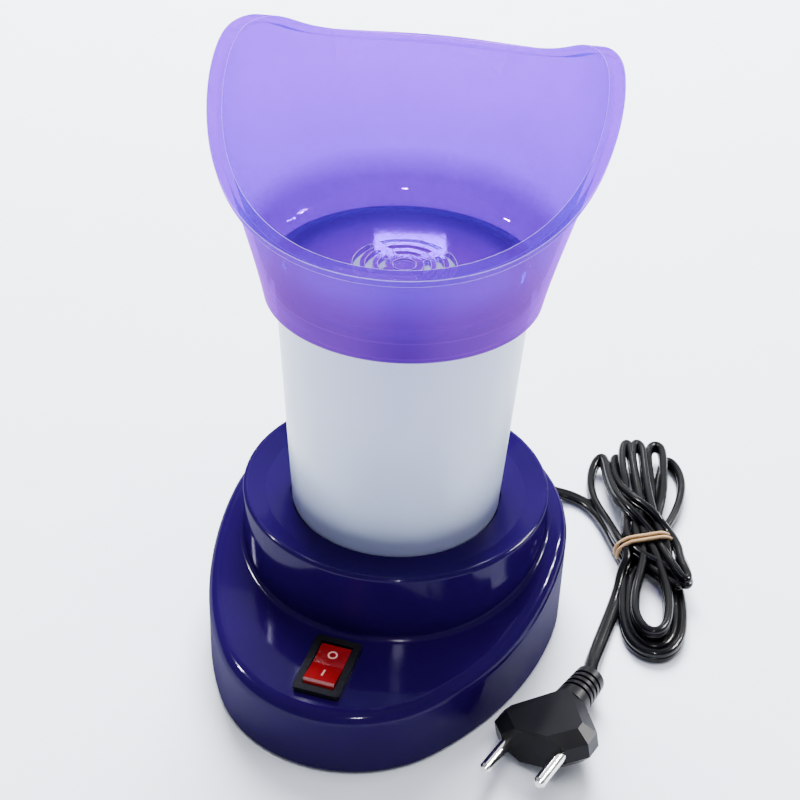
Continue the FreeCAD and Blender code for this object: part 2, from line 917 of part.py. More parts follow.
def mask_wall_between(outer_inset, inner_inset):
    """The turned wall between two lines set in from the mask's outer face."""
    outer = mask_outer_line(outer_inset)
    inner = mask_outer_line(inner_inset)
    return revolved([
        spline_through(outer),
        Part.LineSegment(outer[-1], inner[-1]).toShape(),
        spline_through(inner[::-1]),
        Part.LineSegment(inner[0], outer[0]).toShape(),
    ])


def mask_core(inset):
    """Everything within a line set in from the mask's outer face."""
    line = mask_outer_line(inset)
    top = Vector(0, 0, line[-1].z)
    bottom = Vector(0, 0, line[0].z)
    return revolved([
        spline_through(line),
        Part.LineSegment(line[-1], top).toShape(),
        Part.LineSegment(top, bottom).toShape(),
        Part.LineSegment(bottom, line[0]).toShape(),
    ])


def face_mask():
    wall = mm("mask_wall")
    floor_bottom = mm("cup_top") + mm("mask_gap")
    floor_top = floor_bottom + mm("mask_floor")
    plate = Part.makeCylinder(mm("skirt_top_radius") + 2, mm("mask_floor"), Vector(0, 0, floor_bottom))
    mask = mask_wall_between(0, wall).fuse(plate.common(mask_core(wall / 2)))
    foot = [e for e in mask.Edges if abs(e.BoundBox.ZMin - floor_top) < 1e-3
            and abs(e.BoundBox.ZMax - floor_top) < 1e-3 and e.BoundBox.XMax > mm("cup_top_radius")]
    mask = mask.makeFillet(mm("mask_foot_round"), foot)
    opening = above_rim(0)
    band = mask_wall_between(-mm("flange_out"), wall / 2).common(above_rim(mm("flange_drop")))
    mask = mask.cut(opening).fuse(band.cut(opening))
    for slot in grille_slots(Vector(0, 0, floor_bottom - 1), mm("mask_floor") + 2):
        mask = mask.cut(slot)
    dimple = Part.makeCylinder(mm("grille_dimple_radius"), 2, Vector(0, 0, floor_top - 0.9))
    mask = mask.cut(dimple).removeSplitter()
    turn = Rotation(Vector(0, 0, 1), mm("mask_turn"))
    return feature("face_mask", mask, Placement(Vector(0, mm("cup_axis_y"), 0), turn))


# ---------------------------------------------------------------- rocker switch

def switch_body():
    body = new_body("switch_body")
    bezel = new_sketch(body, "XY_Plane")
    add_outline(bezel, rectangle(size("bezel_width"), size("bezel_length")))
    top = padded(body, bezel, size("bezel_height"))
    rounded_edges(body, top, size("bezel_corner"), lambda e: e.BoundBox.ZLength > 1)
    case = new_sketch(body, "XY_Plane", -size("switch_depth"))
    add_outline(case, rectangle(size("switch_width"), size("switch_length")))
    padded(body, case, size("switch_depth") + 0.5)
    well = new_sketch(body, "XY_Plane", size("bezel_height"))
    add_outline(well, rectangle(size("switch_opening_width"), size("switch_opening_length")))
    pocketed(body, well, size("switch_opening_depth"))
    place_on_deck(body)
    finished(body, "switch_body")


def place_on_deck(thing):
    thing.Placement = switch_placement()
    bind(thing, "Placement.Base.y", size("switch_y") + size("cup_axis_y"))
    bind(thing, "Placement.Base.z", size("switch_z"))
    bind(thing, "Placement.Rotation.Angle", size("switch_tilt"))


def rocker():
    """A shallow V in side view, its rear end pressed down by its throw."""
    pivot_z = mm("bezel_height") - mm("rocker_pivot_drop")
    end = mm("rocker_end_radius")
    crease = mm("rocker_pivot_drop") - mm("rocker_crease_drop")
    slope = math.tan(math.radians(mm("rocker_dish")))
    steepness = 1 + slope ** 2
    reach = (math.sqrt(steepness * end ** 2 - crease ** 2) - crease * slope) / steepness
    middle = Vector(0, 0, crease)
    top = Vector(0, reach, crease + reach * slope)
    side = Vector(0, end, 0)
    low = Rotation(Vector(1, 0, 0), -18).multVec(side)
    foot = Vector(0, 3.2, -4.2)
    edges = [
        Part.LineSegment(middle, top),
        Part.Arc(top, side, low),
        Part.LineSegment(low, foot),
        Part.LineSegment(foot, flipped_y(foot)),
        Part.LineSegment(flipped_y(foot), flipped_y(low)),
        Part.Arc(flipped_y(low), flipped_y(side), flipped_y(top)),
        Part.LineSegment(flipped_y(top), middle),
    ]
    width = mm("rocker_width")
    face = Part.Face(Part.Wire([edge.toShape() for edge in edges]))
    face.translate(Vector(-width / 2, 0, 0))
    block = face.extrude(Vector(width, 0, 0))
    bore = mm("rocker_pin_radius") + mm("rocker_pin_fit")
    block = block.cut(Part.makeCylinder(bore, width + 2, Vector(-width / 2 - 1, 0, 0), Vector(1, 0, 0)))
    tip = Rotation(Vector(1, 0, 0), -mm("rocker_throw"))
    place = switch_placement().multiply(Placement(Vector(0, 0, pivot_z), tip))
    return feature("rocker", block, place)


def rocker_pin():
    pin = primitive("Cylinder", "rocker_pin", Radius=size("rocker_pin_radius"),
                    Height=size("switch_opening_width") + 1.0)
    start = Vector(-mm("switch_opening_width") / 2 - 0.5, 0, mm("bezel_height") - mm("rocker_pivot_drop"))
    pin.Placement = switch_placement().multiply(Placement(start, ALONG_X))
    finished(pin, "rocker_pin")


def tab_pair(spacing, root_z):
    """Two flat terminals hanging down, their flat sides facing front and back."""
    width = size("tab_width")
    thickness = size("tab_thickness")
    length = size("tab_length")
    tabs = []
    for side in (-0.5, 0.5):
        tabs.append(box("tab", width, thickness, length,
                        -width / 2, spacing * side - thickness / 2, root_z - length))
    return tabs


def sleeve_pair(spacing, root_z):
    """The insulated push-on connectors that grip the terminals of tab_pair."""
    width = size("sleeve_width")
    thickness = size("sleeve_thickness")
    length = size("sleeve_length")
    sleeves = []
    for side, slot in zip((-0.5, 0.5), tab_pair(spacing, root_z)):
        block = box("sleeve_block", width, thickness, length,
                    -width / 2, spacing * side - thickness / 2, root_z - 0.4 - length)
        sleeves.append(cut_from("sleeve", block, slot))
    return sleeves


def switch_tabs():
    tabs = grouped("switch_tabs", tab_pair(size("tab_spacing"), -size("switch_depth")))
    place_on_deck(tabs)
    finished(tabs, "switch_tabs")


def thermostat_tabs():
    tabs = grouped("thermostat_tabs", tab_pair(size("thermostat_tab_spacing"), thermostat_bottom()))
    put_on_axis(finished(tabs, "thermostat_tabs"))


def push_on_connectors():
    at_switch = grouped("switch_connectors", sleeve_pair(size("tab_spacing"), -size("switch_depth")))
    switch = switch_placement()
    at_switch.Placement = Placement(switch.Base - Vector(0, mm("cup_axis_y"), 0), switch.Rotation)
    at_thermostat = sleeve_pair(size("thermostat_tab_spacing"), thermostat_bottom())
    put_on_axis(finished(grouped("push_on_connectors", [at_switch] + at_thermostat),
                         "push_on_connectors"))


# ---------------------------------------------------------------- wiring inside the base

def terminal_block():
    floor = size("cover_bottom") + size("cover_thickness")
    length = size("block_length")
    width = size("block_width")
    height = size("block_height")
    block = box("block", length, width, height, -length / 2, size("block_y"), floor)
    wells = []
    for side in (-1, 1):
        wells.append(cylinder("block_well", 1.9, 5, size("block_pole_x") * side,
                              size("block_y") + width / 2, floor + height - 4))
    put_on_axis(finished(cut_from("terminal_block", block, grouped("block_wells", wells)),
                         "terminal_block"))


def wire_routes():
    """Wires by label: each runs from the face it is joined to, to the next piece's face."""
    bore = mm("cover_bottom") + mm("cover_thickness") + 5
    pole = mm("block_pole_x")
    front = mm("block_y")
    back = front + mm("block_width")
    turn = math.radians(mm("switch_tilt"))
    down = mm("switch_depth") + mm("sleeve_length") / 2 + 0.4
    half = mm("tab_spacing") / 2 + mm("sleeve_thickness") / 2
    switch_y = mm("switch_y")
    switch_low = Vector(0, switch_y + down * math.sin(turn), mm("switch_z") - down)
    rear_tab = switch_low + Vector(0, half, half * math.sin(turn))
    front_tab = switch_low - Vector(0, half, half * math.sin(turn))
    reach = mm("thermostat_tab_spacing") / 2 + mm("sleeve_thickness") / 2
    low = thermostat_bottom().number - mm("sleeve_length") / 2 - 0.4
    pin = Vector(*[value.number for value in element_pin_end(-1)])
    outward = relief_heading()
    cord_end = relief_start() - outward * mm("inner_cord_end")
    core_shift = Vector(0, 0, 0.95)
    upper_core = cord_end + core_shift
    lower_core = cord_end - core_shift
    fuse_along = (fuse_end() - fuse_start()).normalize()
    return {
        "live_core": [upper_core, upper_core - outward * 3, Vector(3, back + 4, bore + 3.2),
                      Vector(-pole, back + 6, bore), Vector(-pole, back, bore)],
        "neutral_core": [lower_core, lower_core - outward * 2.5, Vector(pole, back + 4, bore),
                         Vector(pole, back, bore)],
        "live_wire": [Vector(-pole, front, bore), Vector(-pole, front - 12, bore),
                      Vector(-14, front - 36, bore + 1), Vector(-12, switch_y + 26, bore + 1),
                      rear_tab + Vector(0, 9, 0.5), rear_tab],
        "switched_wire": [front_tab, front_tab + Vector(0, -5, -0.3), Vector(13, switch_y - 4, bore + 1),
                          Vector(14, switch_y + 18, bore + 2), Vector(13, -28, bore + 6),
                          Vector(4, -20, 24), Vector(0, -reach - 7, low), Vector(0, -reach, low)],
        "neutral_wire": [Vector(pole, front, bore), Vector(pole, front - 9, bore),
                         Vector(20, 0, bore + 2), Vector(26, -14, 13), fuse_start() - fuse_along * 5,
                         fuse_start()],
        "element_wire": [pin, pin + Vector(-1, -1, -6), Vector(-13, -6, 22),
                         Vector(-12, 8, 26), Vector(0, reach + 7, low), Vector(0, reach, low)],
    }


def fuse_start():
    return Vector(17, -21, 21)


def wires():
    for label, points in wire_routes().items():
        feature(label, tube_along(label, points, mm("wire_radius")))


def fuse_end():
    return Vector(*[value.number for value in element_pin_end(1)])


def thermal_fuse():
    """A fuse in its sleeve, between the neutral wire and one pin of the element."""
    along = fuse_end() - fuse_start()
    sleeve = cylinder("fuse_sleeve", size("fuse_radius"), along.Length - 3)
    lead = cylinder("fuse_lead", 0.6, along.Length)
    fuse = fused("thermal_fuse", [sleeve, lead])
    turn = Rotation(Vector(0, 0, 1), along)
    fuse.Placement = Placement(fuse_start() + Vector(0, mm("cup_axis_y"), 0), turn)
    finished(fuse, "thermal_fuse")


def clamp_centre():
    middle = relief_start() - relief_heading() * mm("clamp_inset")
    return Vector(middle.x, middle.y, 0)


def clamp_height():
    return mm("relief_z") + mm("inner_cord_radius")


def clamp_placement():
    turn = Rotation(Vector(0, 0, 1), mm("relief_angle") - 90)
    return Placement(clamp_centre() + Vector(0, mm("cup_axis_y"), clamp_height()), turn)


def cord_clamp():
    """A bar that presses the cord on the cover, behind its bend relief."""
    length = size("clamp_length")
    width = size("clamp_width")
    bar = box("clamp_bar", length, width, size("clamp_thickness"), -length / 2, -width / 2)
    holes = []
    for side in (-1, 1):
        holes.append(cylinder("clamp_hole", size("clamp_screw_radius") + 0.2, 10,
                              size("clamp_screw_offset") * side, 0, -2))
    clamp = cut_from("cord_clamp", bar, grouped("clamp_holes", holes))
    clamp.Placement = clamp_placement()
    finished(clamp, "cord_clamp")


def clamp_screws():
    top = size("clamp_thickness")
    cord_top = size("relief_z") + size("inner_cord_radius")
    reach = cord_top - size("cover_bottom") - size("cover_thickness") - 0.5
    screws = []
    for side in (-1, 1):
        x = size("clamp_screw_offset") * side
        head = cylinder("clamp_head", 2.4, 1.6, x, 0, top)
        shank = cylinder("clamp_shank", size("clamp_screw_radius"), top + reach, x, 0, -reach)
        slot = box("clamp_slot", 4.8, 0.7, 0.7, x - 2.4, -0.35, top + 0.9)
        screws.append(cut_from("clamp_screw", fused("clamp_blank", [head, shank]), slot))
    pair = grouped("clamp_screws", screws)
    pair.Placement = clamp_placement()
    finished(pair, "clamp_screws")


def inner_cord():
    """The sheathed end of the cord inside the base."""
    skipped = size("housing_wall") + size("relief_flange") + size("relief_flange_gap")
    core = primitive("Cylinder", "inner_cord", Radius=size("inner_cord_radius"),
                     Height=size("inner_cord_end") - skipped)
    inward = -relief_heading()
    first = relief_start() + inward * skipped.number
    turn = Rotation(Vector(0, 0, 1), inward)
    core.Placement = Placement(first + Vector(0, mm("cup_axis_y"), 0), turn)
    finished(core, "inner_cord")


# ---------------------------------------------------------------- cord, hank and plug

def relief_neck():
    return mm("relief_root_radius") - 0.9


def relief_frames():
    """Centres and headings along the curved bend relief, in equal steps."""
    steps = 6
    bend = mm("relief_bend_radius")
    heading = math.radians(mm("relief_angle"))
    step = math.radians(mm("relief_turn")) / steps
    place = relief_start()
    frames = [(Vector(place), heading)]
    for _ in range(steps):
        chord = 2 * bend * math.sin(step / 2)
        heading -= step / 2
        place = place + Vector(math.cos(heading), math.sin(heading), 0) * chord
        heading -= step / 2
        frames.append((Vector(place), heading))
    return frames


def cord_relief():
    frames = relief_frames()
    root = mm("relief_root_radius")
    tip = mm("relief_tip_radius")
    rings = []
    for i, (place, heading) in enumerate(frames):
        radius = root + (tip - root) * i / (len(frames) - 1)
        normal = Vector(math.cos(heading), math.sin(heading), 0)
        rings.append(Part.Wire([Part.Circle(place, normal, radius).toShape()]))
    boot = Part.makeLoft(rings, True)
    start, heading = frames[0]
    outward = Vector(math.cos(heading), math.sin(heading), 0)
    wall = mm("housing_wall")
    reach = wall + mm("relief_flange_gap")
    neck = Part.makeCylinder(relief_neck(), reach + 0.6, start - outward * (reach + 0.3), outward)
    flange_at = start - outward * (wall + mm("relief_flange") + mm("relief_flange_gap"))
    flange = Part.makeCylinder(mm("relief_flange_radius"), mm("relief_flange"), flange_at, outward)
    return feature("cord_relief", boot.fuse(neck).fuse(flange))


def lead_route():
    """The cord from the bend relief to the hank; heights fall to the table."""
    radius = mm("cord_width") / 2
    end, heading = relief_frames()[-1]
    along = Vector(math.cos(heading), math.sin(heading), 0)
    lift = radius + 0.1
    return [
        Vector(end),
        end + along * 7 + Vector(0, 0, -1.8),
        Vector(48.0, 70.4, lift + 0.5),
        Vector(57.0, 64.6, lift),
        Vector(64.2, 56.6, lift),
    ]


def cord_lead():
    return feature("cord_lead", tube_along("cord_lead", lead_route(), mm("cord_width") / 2))


def hank_outline():
    return [
        (64.5, 57.0), (59.0, 67.5), (54.2, 80.0), (52.8, 93.0), (56.0, 101.5), (62.5, 109.5),
        (70.0, 113.5), (77.5, 115.0), (84.5, 110.0), (90.5, 98.0), (92.8, 82.0), (91.5, 68.0),
        (93.0, 54.5), (101.5, 40.0), (104.2, 28.0), (105.5, 10.0), (102.0, -3.0), (94.0, -6.8),
        (86.0, -3.0), (81.5, 10.0), (78.5, 28.0), (74.5, 43.0),
    ]


def cord_hank():
    """The outer shape of the folded and tied cord, a bow tie in plan."""
    points = [Vector(x, y, 0) for x, y in hank_outline()]
    curve = Part.BSplineCurve()
    curve.interpolate(points, PeriodicFlag=True)
    face = Part.Face(Part.Wire([curve.toShape()]))
    block = face.extrude(Vector(0, 0, mm("hank_height")))
    left, right = tie_ends()
    across = (right - left).normalize()
    length = mm("waist_length")
    gap = Part.makeBox(60, length, mm("hank_height"), Vector(-30, -length / 2, 0))
    turn = Rotation(Vector(1, 0, 0), across)
    gap.Placement = Placement((left + right) / 2 + Vector(0, 0, mm("waist_height")), turn)
    return feature("cord_hank", block.cut(gap))


def tie_ends():
    """The two sides of the hank's waist, level with the table."""
    return Vector(73.2, 42.6, 0), Vector(92.2, 55.0, 0)


def hank_tie():
    """Two turns of thin wire round the waist of the hank, with a short twisted tail."""
    radius = mm("tie_radius")
    up = Vector(0, 0, 1)
    high = up * (mm("waist_height") + radius)
    low = up * (radius + 4.05)
    left, right = tie_ends()
    across = (right - left).normalize()
    along = Vector(-across.y, across.x, 0)
    corners = [
        left + low,
        left + high - up * 3,
        left + high + across * 4,
        right + high - across * 4,
        right + high - up * 3,
        right + low,
    ]
    wraps = []
    for shift in (-1.2, 1.2):
        wraps.append(tube_along("hank_tie", [corner + along * shift for corner in corners], radius))
    tail_start = right + high - up * 4 + across * 0.9
    tail = Part.makeCylinder(radius, 12, tail_start, Vector(0.55, -0.75, -0.3))
    return feature("hank_tie", Part.Compound(wraps + [tail]))


def plug_origin():
    return Vector(77.9, -27.0, mm("plug_end_z"))


def plug_rotation():
    """The plug lies turned, nose up a little and leaning over on one edge."""
    turn = Rotation(Vector(0, 0, 1), 180 - mm("plug_turn"))
    rise = Rotation(Vector(1, 0, 0), mm("plug_rise"))
    lean = Rotation(Vector(0, 1, 0), mm("plug_lean"))
    return turn * rise * lean


def plug_placement():
    return Placement(plug_origin() + Vector(0, mm("cup_axis_y"), 0), plug_rotation())


def plug_route():
    """The cord from the waist of the hank to the plug's bend relief."""
    lift = mm("cord_width") / 2 + 0.1
    end = plug_origin()
    back = plug_rotation().multVec(Vector(0, 1, 0))
    return [
        Vector(77.4, 30.0, lift),
        Vector(77.0, 10.0, lift),
        Vector(77.2, -6.0, lift + 0.8),
        end - back * 9 + Vector(0, 0, -1.3),
        Vector(end),
    ]


def plug_lead():
    return feature("plug_lead", tube_along("plug_lead", plug_route(), mm("cord_width") / 2))


def plug_relief():
    """A ribbed sleeve on the plug, round in section."""
    length = size("plug_relief_length")
    start = size("plug_relief_start")
    end = size("plug_relief_end")
    sleeve = primitive("Cone", "relief_sleeve", Radius1=start, Radius2=end, Height=length)
    grooves = []
    for i in range(4):
        at = size("plug_groove_first") + size("plug_groove_pitch") * i
        radius = start + (end - start) * at / length
        outside = cylinder("groove_outside", radius + 1, size("plug_groove_width"), 0, 0, at)
        inside = cylinder("groove_inside", radius - 0.9, size("plug_groove_width"), 0, 0, at)
        grooves.append(cut_from("groove", outside, inside))
    relief = cut_from("plug_relief", sleeve, grouped("grooves", grooves))
    relief.Placement = plug_placement().multiply(Placement(Vector(), ALONG_Y))
    finished(relief, "plug_relief")


def plug_body():
    body = new_body("plug_body")
    sketch = new_sketch(body, "XY_Plane", -size("plug_thickness") / 2)
    start = size("plug_relief_length")
    shoulder = start + size("plug_shoulder_length")
    face = start + size("plug_body_length")
    wide = size("plug_half_width")
    narrow = size("plug_shoulder_half")
    corner = size("plug_corner")
    add_outline(sketch, [
        (-narrow, start), (narrow, start), (wide, shoulder), (wide, face - corner),
        (wide - corner, face), (-wide + corner, face), (-wide, face - corner), (-wide, shoulder),
    ])
    block = padded(body, sketch, size("plug_thickness"))

    def bevelled(edge):
        box = edge.BoundBox
        level = box.ZLength < 0.01
        crosswise = box.YLength < 0.01
        at_face = crosswise and box.YMax > face.number - 0.5
        short = box.XLength < 2 * narrow.number + 0.1 or crosswise
        return level and box.YMax > start.number + 0.5 and short and not at_face

    names = ["Edge%d" % (i + 1) for i, edge in enumerate(block.Shape.Edges) if bevelled(edge)]
    chamfer = body.newObject("PartDesign::Chamfer", "plug_bevel")
    chamfer.Base = (block, names)
    bind(chamfer, "Size", size("plug_bevel"))
    doc.recompute()
    body.Placement = plug_placement()
    finished(body, "plug_body")


def plug_pins():
    face = size("plug_relief_length") + size("plug_body_length")
    radius = size("pin_radius")
    shank_length = size("pin_length") - 1
    pins = []
    for side in (-1, 1):
        x = size("pin_half_spacing") * side
        shank = cylinder("pin_shank", radius, shank_length, x, 0, face)
        tip = primitive("Cone", "pin_tip", Radius1=radius, Radius2=radius * 0.6, Height=1.0)
        placed(tip, x, 0, face + shank_length)
        pins.append(fused("pin", [shank, tip]))
    pair = grouped("plug_pins", pins)
    pair.Placement = plug_placement().multiply(Placement(Vector(), ALONG_Y))
    finished(pair, "plug_pins")


# ---------------------------------------------------------------- build, check, write

def build():
    base_housing()
    bottom_cover()
    cover_screws()
    foot_pads()
    cup()
    cup_gasket()
    heater_plate()
    ring_nut()
    heating_element()
    thermostat()
    thermostat_tabs()
    thermostat_strap()
    strap_screws()
    face_mask()
    switch_body()
    rocker()
    rocker_pin()
    switch_tabs()
    push_on_connectors()
    terminal_block()
    wires()
    thermal_fuse()
    cord_clamp()
    clamp_screws()
    inner_cord()
    cord_relief()
    cord_lead()
    cord_hank()
    hank_tie()
    plug_lead()
    plug_relief()
    plug_body()
    plug_pins()
    doc.recompute()


def check_and_write():
    for thing in doc.Objects:
        if "Invalid" in thing.State or "Error" in thing.State:
            raise RuntimeError(thing.Label + " failed: " + ", ".join(thing.State))
    for thing in parts:
        if thing.Shape.isNull() or not thing.Shape.isValid():
            raise RuntimeError(thing.Label + " has no valid shape")
    os.makedirs("parts", exist_ok=True)
    for thing in parts:
        thing.Shape.exportStep("parts/" + thing.Label + ".step")
        box = thing.Shape.BoundBox
        print("%-18s solids %d volume %9.1f  x %.1f..%.1f y %.1f..%.1f z %.1f..%.1f" % (
            thing.Label, len(thing.Shape.Solids), thing.Shape.Volume,
            box.XMin, box.XMax, box.YMin, box.YMax, box.ZMin, box.ZMax))


build()
check_and_write()
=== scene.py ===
import math
import bmesh
import bpy
from mathutils import Matrix, Vector


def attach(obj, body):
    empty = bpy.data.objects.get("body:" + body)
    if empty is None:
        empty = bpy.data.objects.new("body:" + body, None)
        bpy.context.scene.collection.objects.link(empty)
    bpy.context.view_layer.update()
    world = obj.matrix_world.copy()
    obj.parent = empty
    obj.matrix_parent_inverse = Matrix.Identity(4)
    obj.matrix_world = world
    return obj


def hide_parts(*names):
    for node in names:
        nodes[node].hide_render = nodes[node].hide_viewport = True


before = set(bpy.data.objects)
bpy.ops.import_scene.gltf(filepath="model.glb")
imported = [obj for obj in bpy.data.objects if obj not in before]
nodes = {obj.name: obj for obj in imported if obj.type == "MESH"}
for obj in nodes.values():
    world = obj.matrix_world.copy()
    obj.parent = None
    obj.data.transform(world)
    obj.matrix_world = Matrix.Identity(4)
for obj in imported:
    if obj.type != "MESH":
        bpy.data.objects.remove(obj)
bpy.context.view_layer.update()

# Facial steamer: the CAD frame in metres, +Z up, front towards -Y.
# Lengths below are written in millimetres and turned into metres by mm().


def mm(*values):
    return Vector([v * 0.001 for v in values])


def new_object(name, data):
    obj = bpy.data.objects.new(name, data)
    bpy.context.scene.collection.objects.link(obj)
    return obj


# the cup and the mask are round about this upright line, which has x = 0
CUP_AXIS_Y = 14.0

# ---------------------------------------------------------------- camera

# the photograph's viewpoint, solved from the object's round rims
CAMERA_SPOT = mm(122.468, -418.809 + CUP_AXIS_Y, 384.392)
CAMERA_RIGHT = Vector((0.95295, 0.30138, 0.0326))
CAMERA_FORWARD = Vector((-0.23088, 0.79126, -0.56622))
SENSOR_WIDTH = 36.0
FOCAL_LENGTH = 72.0


def place_camera():
    data = bpy.data.cameras.new("camera")
    data.sensor_width = SENSOR_WIDTH
    data.lens = FOCAL_LENGTH
    data.clip_start = 0.01
    data.clip_end = 50
    camera = new_object("camera", data)
    right = CAMERA_RIGHT.normalized()
    forward = CAMERA_FORWARD.normalized()
    up = right.cross(forward).normalized()
    right = forward.cross(up).normalized()
    camera.matrix_world = Matrix((
        (right.x, up.x, -forward.x, CAMERA_SPOT.x),
        (right.y, up.y, -forward.y, CAMERA_SPOT.y),
        (right.z, up.z, -forward.z, CAMERA_SPOT.z),
        (0, 0, 0, 1),
    ))
    bpy.context.scene.camera = camera


place_camera()

# ---------------------------------------------------------------- mesh helpers


def mesh_object(name, points, faces, smooth=True):
    """A new object of these faces, with all of them turned outwards."""
    mesh = bpy.data.meshes.new(name)
    mesh.from_pydata([tuple(p) for p in points], [], faces)
    mesh.validate()
    bm = bmesh.new()
    bm.from_mesh(mesh)
    bmesh.ops.recalc_face_normals(bm, faces=bm.faces)
    bm.to_mesh(mesh)
    bm.free()
    if smooth:
        mesh.shade_smooth()
    return new_object(name, mesh)


STEPS_PER_POINT = 6


def spline_line(points):
    """The smooth line a NURBS spline of order 3 makes of its control points."""
    curve = bpy.data.curves.new("route", "CURVE")
    curve.dimensions = "3D"
    curve.resolution_u = STEPS_PER_POINT
    spline = curve.splines.new("NURBS")
    spline.points.add(len(points) - 1)
    for knot, point in zip(spline.points, points):
        knot.co = (point[0], point[1], point[2], 1)
    spline.order_u = 3
    spline.use_endpoint_u = True
    holder = new_object("route", curve)
    bpy.context.view_layer.update()
    mesh = bpy.data.meshes.new_from_object(holder)
    line = [v.co.copy() for v in mesh.vertices]
    bpy.data.objects.remove(holder)
    bpy.data.curves.remove(curve)
    bpy.data.meshes.remove(mesh)
    return line


def swept(name, line, profile, rolls):
    """A closed tube of the given section along a line; each roll turns the section about it."""
    points = []
    count = len(profile)
    for i, place in enumerate(line):
        before = line[max(i - 1, 0)]
        after = line[min(i + 1, len(line) - 1)]
        tangent = (after - before).normalized()
        side = tangent.cross(Vector((0, 0, 1)))
        side = side.normalized() if side.length > 1e-4 else Vector((1, 0, 0))
        over = side.cross(tangent).normalized()
        wide = side * math.cos(rolls[i]) + over * math.sin(rolls[i])
        high = over * math.cos(rolls[i]) - side * math.sin(rolls[i])
        points.extend(place + wide * a + high * b for a, b in profile)
    faces = []
    for i in range(len(line) - 1):
        for j in range(count):
            k = (j + 1) % count
            faces.append((i * count + j, i * count + k, (i + 1) * count + k, (i + 1) * count + j))
    faces.append(tuple(range(count)))
    faces.append(tuple((len(line) - 1) * count + j for j in range(count)))
    return mesh_object(name, points, faces)


# ---------------------------------------------------------------- cord, one line from base to plug

CORD_WIDTH = 5.2
CORD_THICKNESS = 3.2
POINTS_PER_CORE = 11

